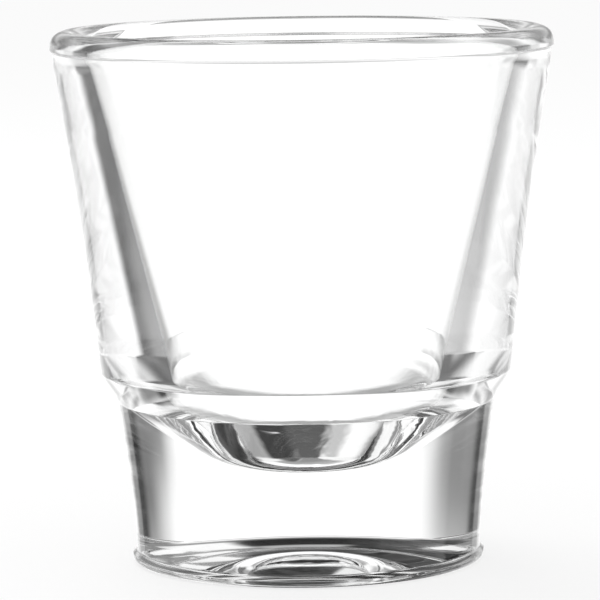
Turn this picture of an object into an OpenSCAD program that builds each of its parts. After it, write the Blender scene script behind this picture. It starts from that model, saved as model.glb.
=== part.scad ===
// A heavy pressed glass for a short coffee with milk, drawn in millimetres.
// It is one piece of clear glass, turned about the Z axis, and it stands on the plane z = 0.
// Outlines are half sections: x is the distance from the axis and y is the height above the table.

/* [Overall] */
// Height from the table to the crest of the rim
glass_h = 82.5; // [76:0.5:100]
// Outer diameter of the bead round the rim
rim_d = 77.7; // [74:0.1:90]

/* [Rim] */
// Radius of the bead's outer edge
bead_r = 2.4; // [1.6:0.1:2.6]
// Depth of the bead under the crest, down to the step under it
bead_h = 2.9; // [2.8:0.1:3.6]
// How far the bead stands out from the band under it
bead_step = 0.4; // [0.2:0.05:0.6]
// Width of the flat land along the crest
crest_w = 0.3; // [0.1:0.1:0.5]
// Radius of the mouth's inner edge
lip_r = 2.6; // [1.8:0.1:2.8]
// Height of the band under the crest, down to where the body starts to taper
band_h = 5.2; // [4.6:0.1:8]
// How far the band draws in over its height
band_step = 0.15; // [0.05:0.05:0.3]

/* [Body] */
// Outer diameter at the shoulder, where the body ends
shoulder_d = 63.7; // [61:0.1:67]
// Height of the shoulder above the table
shoulder_h = 29.6; // [28:0.1:34]
// Radius of the shoulder's corner
shoulder_r = 1.6; // [0.6:0.1:3]
// How far the body's side bows in from a straight taper
body_bow = 0.48; // [0.1:0.02:0.8]

/* [Base] */
// Outer diameter of the neck, the crease under the shoulder
neck_d = 58.5; // [56:0.1:60]
// Height of the neck above the table
neck_h = 25.1; // [22:0.1:26.5]
// How far the undercut from the neck to the shoulder bulges
undercut_bulge = 0.12; // [0.04:0.02:0.3]
// Outer diameter of the waist, just above the foot
waist_d = 53.3; // [51:0.1:54.2]
// Height of the waist above the table
waist_h = 1.7; // [1.6:0.1:3.5]
// How far the base's side bows in from a straight taper
base_bow = 0.3; // [0.1:0.02:0.6]

/* [Foot] */
// Outer diameter of the foot
foot_d = 54.8; // [53.9:0.1:56]
// Height of the foot's upright edge
foot_h = 1.1; // [0.9:0.1:1.5]
// Radius of the foot's lower edge
foot_r = 0.8; // [0.4:0.1:1]
// Width of the flat ring that bears on the table
ring_w = 5; // [2:0.1:8]
// Height of the domed hollow under the base, at the axis
punt_h = 5.5; // [3:0.1:6.5]

/* [Inside] */
// Thickness of the base between the hollow and the bowl, at the axis
floor_t = 10.5; // [9:0.1:14]
// Diameter of the flat in the middle of the bowl
floor_d = 6.6; // [4:0.1:14]
// Radius of the bowl's bottom
bowl_r = 12.4; // [8:0.1:14]
// Slope of the bowl's side, in degrees from level
bowl_slope = 42; // [38:0.5:50]
// Radius between the bowl's side and the wall
heel_r = 8.5; // [5:0.1:12]
// Thickness of the wall level with the shoulder
shoulder_wall = 10.15; // [8:0.05:12]
// Thickness of the wall at the knee, where its taper changes
knee_wall = 5.95; // [4.5:0.05:7]
// Depth of the knee under the crest
knee_depth = 15; // [12:0.5:20]
// Thickness of the wall at the throat, where its taper starts
throat_wall = 5; // [4.85:0.05:5.6]
// Depth of the throat under the crest
throat_depth = 4.6; // [3.9:0.1:6.5]
// Radius of the throat's rounding
throat_r = 6; // [2:0.5:10]

/* [Hidden] */
// Colour and opacity of clear glass
glass_tint = [0.9, 0.94, 0.94, 0.45];
// How far each cut runs past the face that it cuts
overrun = 1;
// Facets in a full turn, and the longest facet of a wide arc
turn_steps = 180;
arc_step = 0.5;

// Unit vector square to the line from p to q, on its right
function right_of(p, q) = [q.y - p.y, p.x - q.x] / norm(q - p);

// Radius of the circle through p and q whose arc stands off their chord by a rise
function arc_radius(p, q, rise) = (pow(norm(q - p), 2) / 4 + rise * rise) / (2 * rise);

// Distance from the axis of an arc that bows in by a rise between p and q, at height z
function bowed_x(p, q, rise, z) =
    let (
        r = arc_radius(p, q, rise),
        c = (p + q) / 2 + right_of(p, q) * (r - rise)
    ) c.x - sqrt(r * r - pow(z - c.y, 2));

// Direction in which that arc leaves p on its way to q
function bowed_start(p, q, rise) =
    let (
        r = arc_radius(p, q, rise),
        c = (p + q) / 2 + right_of(p, q) * (r - rise),
        spoke = (p - c) / r
    ) [spoke.y, -spoke.x];

// A corner p between a and b, rounded with radius r: [tangent point to a, tangent point to b, rise]
function rounded(a, p, b, r) =
    let (
        u = (a - p) / norm(a - p),
        v = (b - p) / norm(b - p),
        half = acos(u * v) / 2,
        reach = min(r / tan(half), norm(a - p), norm(b - p)),
        fitted = reach * tan(half)
    ) [p + u * reach, p + v * reach, fitted * (1 - sin(half))];

// Point where a line from p touches a circle with centre c and radius r, on the left as seen from p
function touch_left(p, c, r) =
    let (
        gap = norm(c - p),
        reach = sqrt(gap * gap - r * r),
        tilt = asin(r / gap),
        v = (c - p) / gap
    ) p + reach * [v.x * cos(tilt) - v.y * sin(tilt), v.x * sin(tilt) + v.y * cos(tilt)];

// Point where the line through a and b crosses the line through c and d
function crossing(a, b, c, d) =
    let (
        u = b - a,
        v = d - c,
        w = c - a
    ) a + u * (w.x * v.y - w.y * v.x) / (u.x * v.y - u.y * v.x);

// Rim and band, from the crest down
crest = [rim_d / 2 - bead_r, glass_h];
bead_side = [rim_d / 2, glass_h - bead_r];
bead_rise = bead_r * (1 - cos(45));
bead_low = [rim_d / 2, glass_h - bead_h];
band_top_x = rim_d / 2 - bead_step;
band_top = [band_top_x, glass_h - bead_h - bead_step];
band_foot = [band_top_x - band_step, glass_h - band_h];

// Body, undercut and base, from the band down
shoulder = [shoulder_d / 2, shoulder_h];
neck = [neck_d / 2, neck_h];
waist = [waist_d / 2, waist_h];
body_end = shoulder + bowed_start(shoulder, band_foot, body_bow) * (band_foot.y - shoulder.y);
shoulder_round = rounded(neck, shoulder, body_end, shoulder_r);
foot_top = [foot_d / 2, foot_h];
foot_corner = [foot_d / 2, 0];
foot_round = rounded([0, 0], foot_corner, foot_top, foot_r);

// Underside
ring_in = foot_round[0] - [ring_w, 0];

// Outer radius of the body or the band at height z
function outer_x(z) =
    z < band_foot.y
        ? bowed_x(shoulder_round[1], band_foot, body_bow, z)
        : band_foot.x + (band_top_x - band_foot.x) * (z - band_foot.y) / (band_top.y - band_foot.y);

// Inside, from the mouth down
lip_top = crest - [crest_w, 0];
lip_centre = lip_top - [0, lip_r];
throat_z = glass_h - throat_depth;
throat = [outer_x(throat_z) - throat_wall, throat_z];
lip_end = touch_left(throat, lip_centre, lip_r);
lip_rise = lip_r - norm((lip_top + lip_end) / 2 - lip_centre);
knee_z = glass_h - knee_depth;
knee = [outer_x(knee_z) - knee_wall, knee_z];
throat_round = rounded(knee, throat, lip_end, throat_r);
wall_low = [shoulder.x - shoulder_wall, shoulder_h];

// Bowl: a flat floor, a round bottom, a sloped side and a round heel up to the wall
floor_z = floor_t + punt_h;
floor_edge = [floor_d / 2 + bowl_r * tan(bowl_slope / 2), floor_z];
slope_dir = [cos(bowl_slope), sin(bowl_slope)];
heel = crossing(floor_edge, floor_edge + slope_dir, wall_low, knee);
bottom_round = rounded([0, floor_z], floor_edge, heel, bowl_r);
heel_round = rounded(bottom_round[1], heel, knee, heel_r);

// The part of a circle between its chord from p to q and its arc on the right, with a lap on the left
module arc_cap(p, q, rise, lap = overrun) {
    r = arc_radius(p, q, rise);
    out = right_of(p, q);
    intersection() {
        translate((p + q) / 2 + out * (rise - r))
            circle(r = r, $fn = max(turn_steps, ceil(2 * PI * r / arc_step)));
        polygon([p - out * lap, q - out * lap, q + out * (rise + overrun), p + out * (rise + overrun)]);
    }
}

// The filled outline of the glass, as if it had no cavity
module outer_outline() {
    difference() {
        union() {
            polygon([
                [0, 0],
                foot_round[0],
                foot_round[1],
                foot_top,
                waist,
                neck,
                shoulder_round[0],
                shoulder_round[1],
                band_foot,
                band_top,
                bead_low,
                bead_side,
                crest,
                [0, glass_h]
            ]);
            arc_cap(foot_round[0], foot_round[1], foot_round[2]);
            arc_cap(neck, shoulder_round[0], undercut_bulge);
            arc_cap(shoulder_round[0], shoulder_round[1], shoulder_round[2]);
            arc_cap(bead_side, crest, bead_rise);
        }
        arc_cap(neck, waist, base_bow);
        arc_cap(band_foot, shoulder_round[1], body_bow);
    }
}

// The cavity, open at the top
module cavity_outline() {
    difference() {
        union() {
            polygon([
                [0, floor_z],
                bottom_round[0],
                bottom_round[1],
                heel_round[0],
                heel_round[1],
                knee,
                throat_round[0],
                throat_round[1],
                lip_end,
                lip_top,
                lip_top + [0, overrun],
                [0, glass_h + overrun]
            ]);
            arc_cap(bottom_round[0], bottom_round[1], bottom_round[2]);
            arc_cap(heel_round[0], heel_round[1], heel_round[2]);
            arc_cap(throat_round[0], throat_round[1], throat_round[2]);
        }
        arc_cap(lip_top, lip_end, lip_rise);
    }
}

module glass() {
    color(glass_tint)
        rotate_extrude($fn = turn_steps)
            difference() {
                outer_outline();
                cavity_outline();
                // The domed hollow under the base
                arc_cap(ring_in, [-ring_in.x, ring_in.y], punt_h);
            }
}

glass();
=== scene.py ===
"""A clear pressed glass for a short coffee with milk, on a pale floor in a bright studio.

Lengths are in metres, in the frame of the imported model: Z up, the foot on z = 0, the axis on x = y = 0.
Outlines are half sections: x is the distance from the axis and y is the height above the floor.
"""

import math

import bpy
from mathutils import Matrix, Vector


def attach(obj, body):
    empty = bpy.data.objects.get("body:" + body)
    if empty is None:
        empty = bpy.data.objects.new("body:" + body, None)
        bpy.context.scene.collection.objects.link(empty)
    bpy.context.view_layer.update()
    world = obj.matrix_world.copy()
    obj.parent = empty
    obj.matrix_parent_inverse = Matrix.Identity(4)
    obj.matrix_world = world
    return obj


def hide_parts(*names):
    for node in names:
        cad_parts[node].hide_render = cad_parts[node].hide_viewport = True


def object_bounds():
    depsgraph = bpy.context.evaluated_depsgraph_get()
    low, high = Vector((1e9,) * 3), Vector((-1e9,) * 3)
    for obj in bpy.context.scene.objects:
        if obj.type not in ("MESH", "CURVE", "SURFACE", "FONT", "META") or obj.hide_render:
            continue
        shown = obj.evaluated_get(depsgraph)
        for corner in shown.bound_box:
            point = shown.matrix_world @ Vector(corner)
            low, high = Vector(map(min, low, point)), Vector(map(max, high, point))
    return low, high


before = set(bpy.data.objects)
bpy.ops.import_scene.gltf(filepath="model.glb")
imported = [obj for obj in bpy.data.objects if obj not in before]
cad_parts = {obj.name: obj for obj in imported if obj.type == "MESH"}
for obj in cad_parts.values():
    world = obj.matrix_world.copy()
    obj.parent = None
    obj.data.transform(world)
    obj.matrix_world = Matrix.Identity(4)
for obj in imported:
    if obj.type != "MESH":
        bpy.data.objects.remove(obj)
cad_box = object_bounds()

# Overall sizes, from the frame
rim_r = cad_box[1].x
glass_h = cad_box[1].z

# Rim and band
bead_r = 0.0024
bead_h = 0.0029
bead_step = 0.0004
crest_w = 0.0003
lip_r = 0.0026
band_h = 0.0052
band_step = 0.00015

# Body and base
shoulder_r = 0.03185
shoulder_h = 0.0296
body_bow = 0.00048
neck_r = 0.02925
neck_h = 0.0251
undercut_bulge = 0.00012
waist_r = 0.02665
waist_h = 0.0017
base_bow = 0.0003

# Foot and underside
foot_r = 0.0274
foot_h = 0.0011
ring_w = 0.005
punt_h = 0.0055

# Inside
bowl_base_t = 0.0105
bowl_flat_r = 0.0033
bowl_slope = math.radians(42)
shoulder_wall = 0.01015
knee_wall = 0.00595
knee_depth = 0.015
throat_wall = 0.005
throat_depth = 0.0046

# Radius of each corner's rounding
foot_round = 0.0008
crisp_round = 0.00015
soft_round = 0.0005
neck_round = 0.0004
shoulder_round = 0.0016
bowl_round = 0.0124
heel_round = 0.0085
flare_round = 0.012

# Fineness of the turned mesh, and the rise below which an arc is a line
turn_steps = 288
arc_turn = math.radians(5)
longest_step = 0.0012
least_rise = 1e-9

# The glass: its faint colour, and its refractive index
glass_colour = (0.998, 1.0, 0.999, 1.0)
glass_ior = 1.52

# Waves all over the glass, and swirls in the bowl's bottom: depth, and noise cells in a metre
wave_depth = 0.000004
wave_scale = 90.0
swirl_depth = 0.00006
swirl_scale = 190.0
swirl_bend = 0.6
noise_detail = 2.0

# The two distances from the axis, and the two heights, between which the swirls fade out
swirl_fade_r = (0.021, 0.024)
swirl_fade_z = (0.024, 0.034)

# The floor: its size, its gap under the foot, its colour, and its share of plain white to the camera
floor_r = 6.0
floor_sides = 96
floor_gap = 0.0002
floor_colour = (0.95, 0.95, 0.95, 1.0)
floor_white_share = 0.8

# The lamp that casts the shadow
lamp_place = (-0.25, 0.45, 0.8)
lamp_size = 0.6
lamp_watts = 3.0

# The photograph's camera: turned left, tilted down and rolled clockwise, in radians
camera_place = (0, -0.598, 0.11255)
camera_turn = 0.00134
camera_tilt = 0.1204
camera_roll = 0.0139
lens_mm = 232.8
sensor_mm = 36.0
nearest_seen = 0.01
farthest_seen = 50.0

# How often a ray may pass through the glass and mirror in it; the rim needs the most
clear_bounces = 128
glossy_bounces = 64

# White, its level where the camera sees the studio, and the studio's level for matt surfaces
white = (1.0, 1.0, 1.0, 1.0)
white_level = 1.0
matt_level = 0.85

# The level that the glass sees where no panel lies, and the half width of a panel that goes all round
base_level = 0.28
all_round = 181

# The studio as the glass sees it: (azimuth, elevation, half width, half height, softness, level).
# Azimuth 0 is straight behind the glass, 90 is to the right; all but the level are in degrees.
# A later panel lies over an earlier one.
panels = [
    # The pale ground, up to the horizon
    (0, -60, all_round, 60, 4, 1.0),
    # A dark space above, and lights in it and beside it
    (-45, 44, 62, 24, 6, 0.0),
    (2, 54, 14, 6, 4, 0.5),
    (36, 38, 19, 14, 3, 1.0),
    (106, 18, 22, 14, 6, 0.9),
    (-128, 16, 24, 12, 6, 0.8),
    (179, 42, 7, 4, 3, 0.9),
    # A dark ceiling, which comes down lower on the right
    (0, 82, all_round, 17, 5, 0.02),
    (86, 60, 14, 9, 5, 0.12),
    # The greyer side, where the camera stands
    (180, -16, 48, 15, 8, 0.4),
    (180, 6, 20, 16, 6, 0.3),
    # The white sheet behind, a greyer strip across it, and a dark patch at its top left
    (0, -10, 36, 24, 6, 1.2),
    (0, 5, 30, 3, 3, 0.5),
    (-38, 17, 14, 6, 4, 0.05),
    # The foot of the sheet, and shade on it and in front of it
    (0, -36, 26, 12, 5, 1.2),
    (20, -42, 9, 7, 4, 0.62),
    (0, -53, 30, 9, 4, 0.42),
    # Flags beside the sheet, which darken the two sides of the base
    (-50, 1, 18, 8, 8, 0.28),
    (-70, 1, 12, 8, 4, 0.02),
    (57, 1, 12, 8, 8, 0.2),
    (70, 1, 13, 8, 4, 0.02),
    # Lower flags, which darken the inner edges of the wall, and a light beyond them on the right
    (-56, -24, 21, 10, 5, 0.13),
    (56, -25, 17, 9, 8, 0.5),
    (68, -17, 8, 5, 4, 0.15),
    (94, -18, 17, 22, 6, 1.1),
    # Narrow flags between the two rows, which darken the foot of the wall and the outline of the base
    (-54, -14, 20, 3, 3, 0.12),
    (54, -14, 20, 3, 3, 0.12),
    (-28, -12, 6, 2, 2, 0.8),
    (28, -12, 6, 2, 2, 0.7),
    # Shade and light low down, most of which shows in the bowl's bottom
    (-60, -40, 13, 12, 6, 0.4),
    (-58, -70, 16, 18, 6, 0.04),
    (-30, -68, 16, 10, 5, 0.1),
    (8, -68, 22, 10, 5, 0.3),
    (60, -54, 12, 14, 5, 1.1),
    (62, -70, 12, 8, 4, 0.6),
    (0, -86, all_round, 10, 4, 0.1),
]


def left_of(p, q):
    """Unit vector square to the line from p to q, on its left."""
    along = (q - p).normalized()
    return Vector((-along.y, along.x))


def swung(v, angle):
    """A vector swung to the left by an angle."""
    c, s = math.cos(angle), math.sin(angle)
    return Vector((v.x * c - v.y * s, v.x * s + v.y * c))


def touch_left(p, centre, radius):
    """Where a line from p touches a circle, on its left as seen from p."""
    gap = centre - p
    reach = math.sqrt(gap.length_squared - radius ** 2)
    return p + reach * swung(gap.normalized(), math.asin(radius / gap.length))


def arc_through(p, q, rise):
    """Centre and radius of the arc from p to q that stands off its chord by rise, to the right."""
    half = (q - p).length / 2
    radius = (half * half + rise * rise) / (2 * abs(rise))
    side = -left_of(p, q) * math.copysign(1, rise)
    return (p + q) / 2 + side * (abs(rise) - radius), radius


def stretch(p, q, rise):
    """Points from p up to, but not with, q, and their tangents, along a line or an arc."""
    if abs(rise) < least_rise:
        count = max(1, math.ceil((q - p).length / longest_step))
        along = (q - p).normalized()
        return [(p.lerp(q, i / count), along) for i in range(count)]
    centre, radius = arc_through(p, q, rise)
    start = math.atan2(p.y - centre.y, p.x - centre.x)
    turn = 2 * math.asin(min(1.0, (q - p).length / 2 / radius)) * math.copysign(1, rise)
    count = max(2, math.ceil(abs(turn) / arc_turn), math.ceil(abs(turn) * radius / longest_step))
    found = []
    for i in range(count):
        a = start + turn * i / count
        spoke = Vector((math.cos(a), math.sin(a)))
        along = Vector((-spoke.y, spoke.x)) * math.copysign(1, turn)
        found.append((centre + spoke * radius, along))
    return found


def end_direction(p, q, rise, at_end):
    """Direction of a stretch from p to q, at its start or its end."""
    along = (q - p).normalized()
    if abs(rise) < least_rise:
        return along
    half_turn = 2 * math.atan(2 * rise / (q - p).length)
    return swung(along, half_turn if at_end else -half_turn)


def outline(corners):
    """Points and tangents of a chain of corners (point, rounding, rise of the stretch that follows)."""
    count = len(corners)
    starts, ends, rounds = [None] * count, [None] * count, [None] * count
    for i, (point, radius, rise) in enumerate(corners):
        if i == 0 or i == count - 1 or radius <= 0:
            starts[i] = ends[i] = point
            continue
        before, _, rise_in = corners[i - 1]
        after = corners[i + 1][0]
        into = end_direction(before, point, rise_in, True)
        away = end_direction(point, after, rise, False)
        turn = -into.angle_signed(away)
        reach = radius * math.tan(abs(turn) / 2)
        ends[i], starts[i] = point - into * reach, point + away * reach
        rounds[i] = math.copysign(radius * (1 - math.cos(turn / 2)), turn)
    found = []
    for i in range(count - 1):
        if rounds[i] is not None:
            found += stretch(ends[i], starts[i], rounds[i])
        p, q, rise = starts[i], ends[i + 1], corners[i][2]
        share = (q - p).length / (corners[i + 1][0] - corners[i][0]).length
        found += stretch(p, q, rise * share * share)
    last = corners[-1][0]
    found.append((last, (last - found[-1][0]).normalized()))
    return found


def underside():
    """Corners of the domed hollow and the ring that bears on the floor, from the axis out."""
    ring_in = foot_r - foot_round - ring_w
    punt_radius = (ring_in ** 2 + punt_h ** 2) / (2 * punt_h)
    punt_rise = punt_radius * (1 - math.cos(math.asin(ring_in / punt_radius) / 2))
    return [
        (Vector((0, punt_h)), 0, -punt_rise),
        (Vector((ring_in, 0)), soft_round, 0),
        (Vector((foot_r, 0)), foot_round, 0),
    ]


def outside(shoulder, band_foot):
    """Corners of the outer face, from the foot's upright edge up to the crest."""
    bead_rise = bead_r * (1 - math.sqrt(0.5))
    return [
        (Vector((foot_r, foot_h)), crisp_round, 0),
        (Vector((waist_r, waist_h)), soft_round, -base_bow),
        (Vector((neck_r, neck_h)), neck_round, undercut_bulge),
        (shoulder, shoulder_round, -body_bow),
        (band_foot, flare_round, 0),
        (Vector((rim_r - bead_step, glass_h - bead_h - bead_step)), crisp_round, 0),
        (Vector((rim_r, glass_h - bead_h)), crisp_round, 0),
        (Vector((rim_r, glass_h - bead_r)), 0, bead_rise),
        (Vector((rim_r - bead_r, glass_h)), 0, 0),
    ]


def inside(shoulder, band_foot):
    """Corners of the inner face, from the crest down to the middle of the bowl."""
    throat_z, knee_z = glass_h - throat_depth, glass_h - knee_depth
    band_share = (throat_z - band_foot.y) / (glass_h - bead_h - bead_step - band_foot.y)
    throat = Vector((band_foot.x + band_step * band_share - throat_wall, throat_z))

    centre, radius = arc_through(shoulder, band_foot, -body_bow)
    body_r = centre.x - math.sqrt(radius * radius - (knee_z - centre.y) ** 2)
    knee = Vector((body_r - knee_wall, knee_z))

    bowl_z = bowl_base_t + punt_h
    flat_end = Vector((bowl_flat_r + bowl_round * math.tan(bowl_slope / 2), bowl_z))
    slope = Vector((math.cos(bowl_slope), math.sin(bowl_slope)))
    wall_low = Vector((shoulder_r - shoulder_wall, shoulder_h))
    wall = knee - wall_low
    heel = flat_end + slope * ((wall_low - flat_end).cross(wall) / slope.cross(wall))

    lip_top = Vector((rim_r - bead_r - crest_w, glass_h))
    lip_centre = Vector((lip_top.x, glass_h - lip_r))
    lip_end = touch_left(throat, lip_centre, lip_r)
    lip_rise = lip_r - ((lip_top + lip_end) / 2 - lip_centre).length
    return [
        (lip_top, 0, lip_rise),
        (lip_end, 0, 0),
        (throat, flare_round, 0),
        (knee, 0, 0),
        (heel, heel_round, 0),
        (flat_end, bowl_round, 0),
        (Vector((0, bowl_z)), 0, 0),
    ]


def glass_outline():
    """The half section, from the middle of the underside, out, up, over the rim and down to the bowl."""
    shoulder = Vector((shoulder_r, shoulder_h))
    band_foot = Vector((rim_r - bead_step - band_step, glass_h - band_h))
    return outline(underside() + outside(shoulder, band_foot) + inside(shoulder, band_foot))


def in_scene(name, data):
    """A new object in the scene."""
    made = bpy.data.objects.new(name, data)
    bpy.context.scene.collection.objects.link(made)
    return made


def turned(name, section):
    """A closed mesh that turns a half section, which starts and ends on the axis, about Z."""
    rings = section[1:-1]
    verts, faces, normals = [], [], []
    for point, along in rings:
        for k in range(turn_steps):
            a = math.tau * k / turn_steps
            c, s = math.cos(a), math.sin(a)
            verts.append((point.x * c, point.x * s, point.y))
            normals.append((along.y * c, along.y * s, -along.x))
    for i in range(len(rings) - 1):
        for k in range(turn_steps):
            a, b = i * turn_steps + k, i * turn_steps + (k + 1) % turn_steps
            faces.append((a, b, b + turn_steps, a + turn_steps))
    low, high = len(verts), len(verts) + 1
    verts += [(0, 0, section[0][0].y), (0, 0, section[-1][0].y)]
    normals += [(0, 0, -1), (0, 0, 1)]
    top = (len(rings) - 1) * turn_steps
    for k in range(turn_steps):
        after = (k + 1) % turn_steps
        faces.append((low, after, k))
        faces.append((high, top + k, top + after))
    mesh = bpy.data.meshes.new(name)
    mesh.from_pydata(verts, [], faces)
    mesh.validate()
    mesh.shade_smooth()
    mesh.normals_split_custom_set_from_vertices(normals)
    return in_scene(name, mesh)


class Nodes:
    """Short calls that add nodes to a shader tree and link them."""

    def __init__(self, owner):
        owner.use_nodes = True
        self.tree = owner.node_tree
        self.tree.nodes.clear()

    def add(self, kind, values=None, **settings):
        """A node with settings, and with its inputs set or linked by name or number."""
        node = self.tree.nodes.new(kind)
        for key, value in settings.items():
            setattr(node, key, value)
        for key, value in (values or {}).items():
            if isinstance(value, bpy.types.NodeSocket):
                self.tree.links.new(value, node.inputs[key])
            else:
                node.inputs[key].default_value = value
        return node

    def math(self, operation, a, b=0.0, c=0.0):
        """The result of an operation on up to three values."""
        return self.add("ShaderNodeMath", {0: a, 1: b, 2: c}, operation=operation).outputs[0]

    def mix(self, share, a, b):
        """a where the share is 0, and b where it is 1."""
        return self.add("ShaderNodeMix", {0: share, 2: a, 3: b}, data_type="FLOAT").outputs[0]

    def fade(self, value, start, end, **settings):
        """1 below a start value, falling to 0 at an end value."""
        return self.add("ShaderNodeMapRange", {
            "Value": value, "From Min": start, "From Max": end, "To Min": 1.0, "To Max": 0.0,
        }, **settings).outputs[0]

    def noise(self, place, scale, bend=0.0):
        """Soft noise between 0 and 1."""
        return self.add("ShaderNodeTexNoise", {
            "Vector": place, "Scale": scale, "Detail": noise_detail, "Distortion": bend,
        }).outputs[0]


def clear_glass():
    """Colourless glass with faint waves from the mould, and swirls in the bowl's bottom."""
    material = bpy.data.materials.new("clear_glass")
    n = Nodes(material)
    place = n.add("ShaderNodeTexCoord").outputs["Object"]
    x, y, z = n.add("ShaderNodeSeparateXYZ", {0: place}).outputs
    radius = n.math("SQRT", n.math("ADD", n.math("MULTIPLY", x, x), n.math("MULTIPLY", y, y)))
    in_bowl = n.math("MULTIPLY", n.fade(radius, *swirl_fade_r), n.fade(z, *swirl_fade_z))
    in_bowl = n.math("MULTIPLY", in_bowl, n.math("GREATER_THAN", z, bowl_base_t))
    waves = n.math("MULTIPLY", n.noise(place, wave_scale), wave_depth)
    swirls = n.math("MULTIPLY", in_bowl, n.noise(place, swirl_scale, swirl_bend))
    height = n.math("MULTIPLY_ADD", swirls, swirl_depth, waves)
    bump = n.add("ShaderNodeBump", {"Height": height, "Strength": 1.0, "Distance": 1.0})
    shader = n.add("ShaderNodeBsdfPrincipled", {
        "Base Color": glass_colour,
        "Roughness": 0.0,
        "IOR": glass_ior,
        "Transmission Weight": 1.0,
        "Normal": bump.outputs[0],
    })
    n.add("ShaderNodeOutputMaterial", {"Surface": shader.outputs[0]})
    return material


def studio():
    """White to the camera, plain to matt surfaces, and a set of panels and flags to glass."""
    world = bpy.data.worlds.new("studio")
    bpy.context.scene.world = world
    n = Nodes(world)
    way = n.add("ShaderNodeTexCoord").outputs["Generated"]
    x, y, z = n.add("ShaderNodeSeparateXYZ", {0: way}).outputs
    azimuth = n.math("DEGREES", n.math("ARCTAN2", x, y))
    elevation = n.math("DEGREES", n.math("ARCSINE", z))

    def strip(angle, middle, half, soft):
        """1 inside a strip of angles and 0 outside, with a soft edge."""
        off = n.math("ABSOLUTE", n.math("WRAP", n.math("SUBTRACT", angle, middle), 180.0, -180.0))
        return n.fade(off, half - soft, half + soft, interpolation_type="SMOOTHSTEP")

    level = base_level
    for middle, height, half_width, half_height, soft, shade in panels:
        across = strip(azimuth, middle, half_width, soft)
        upright = strip(elevation, height, half_height, soft)
        level = n.mix(n.math("MULTIPLY", across, upright), level, shade)
    rays = n.add("ShaderNodeLightPath").outputs
    by_glass = n.math("MAXIMUM", rays["Is Glossy Ray"], rays["Is Transmission Ray"])
    seen = n.mix(rays["Is Camera Ray"], n.mix(by_glass, matt_level, level), white_level)
    background = n.add("ShaderNodeBackground", {"Color": white, "Strength": seen})
    n.add("ShaderNodeOutputWorld", {"Surface": background.outputs[0]})


def keep_from_glass(thing):
    """Hide a thing from mirrored rays and from rays through glass."""
    thing.visible_glossy = False
    thing.visible_transmission = False


def pale_floor():
    """A matt white floor that keeps the soft shadow; the glass sees the studio in its place."""
    bpy.ops.mesh.primitive_circle_add(
        vertices=floor_sides, radius=floor_r, fill_type="NGON", location=(0, 0, -floor_gap))
    floor = bpy.context.object
    floor.name = "floor"
    material = bpy.data.materials.new("pale_floor")
    n = Nodes(material)
    matt = n.add("ShaderNodeBsdfDiffuse", {"Color": floor_colour})
    glow = n.add("ShaderNodeEmission", {"Color": white, "Strength": white_level})
    rays = n.add("ShaderNodeLightPath").outputs
    share = n.math("MULTIPLY", rays["Is Camera Ray"], floor_white_share)
    mix = n.add("ShaderNodeMixShader", {0: share, 1: matt.outputs[0], 2: glow.outputs[0]})
    n.add("ShaderNodeOutputMaterial", {"Surface": mix.outputs[0]})
    floor.data.materials.append(material)
    keep_from_glass(floor)


def soft_lamp():
    """One wide lamp above and behind, for the shadow on the floor."""
    data = bpy.data.lights.new("soft_lamp", "AREA")
    data.shape = "DISK"
    data.size = lamp_size
    data.energy = lamp_watts
    lamp = in_scene("soft_lamp", data)
    lamp.location = lamp_place
    lamp.rotation_euler = (-Vector(lamp_place)).to_track_quat("-Z", "Y").to_euler()
    keep_from_glass(lamp)


def photo_camera():
    """The photograph's view: from in front, looking a little down."""
    data = bpy.data.cameras.new("camera")
    data.lens = lens_mm
    data.sensor_width = sensor_mm
    data.clip_start = nearest_seen
    data.clip_end = farthest_seen
    camera = in_scene("camera", data)
    turn = Matrix.Rotation(camera_turn, 4, "Z")
    tilt = Matrix.Rotation(math.pi / 2 - camera_tilt, 4, "X")
    roll = Matrix.Rotation(-camera_roll, 4, "Z")
    camera.matrix_world = Matrix.Translation(camera_place) @ turn @ tilt @ roll
    bpy.context.scene.camera = camera


glass = turned("cortado_glass", glass_outline())
glass.data.materials.append(clear_glass())
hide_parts("glass")
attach(glass, "root")

studio()
pale_floor()
soft_lamp()
photo_camera()

scene = bpy.context.scene
scene.view_settings.view_transform = "Standard"
scene.cycles.max_bounces = clear_bounces
scene.cycles.transmission_bounces = clear_bounces
scene.cycles.glossy_bounces = glossy_bounces
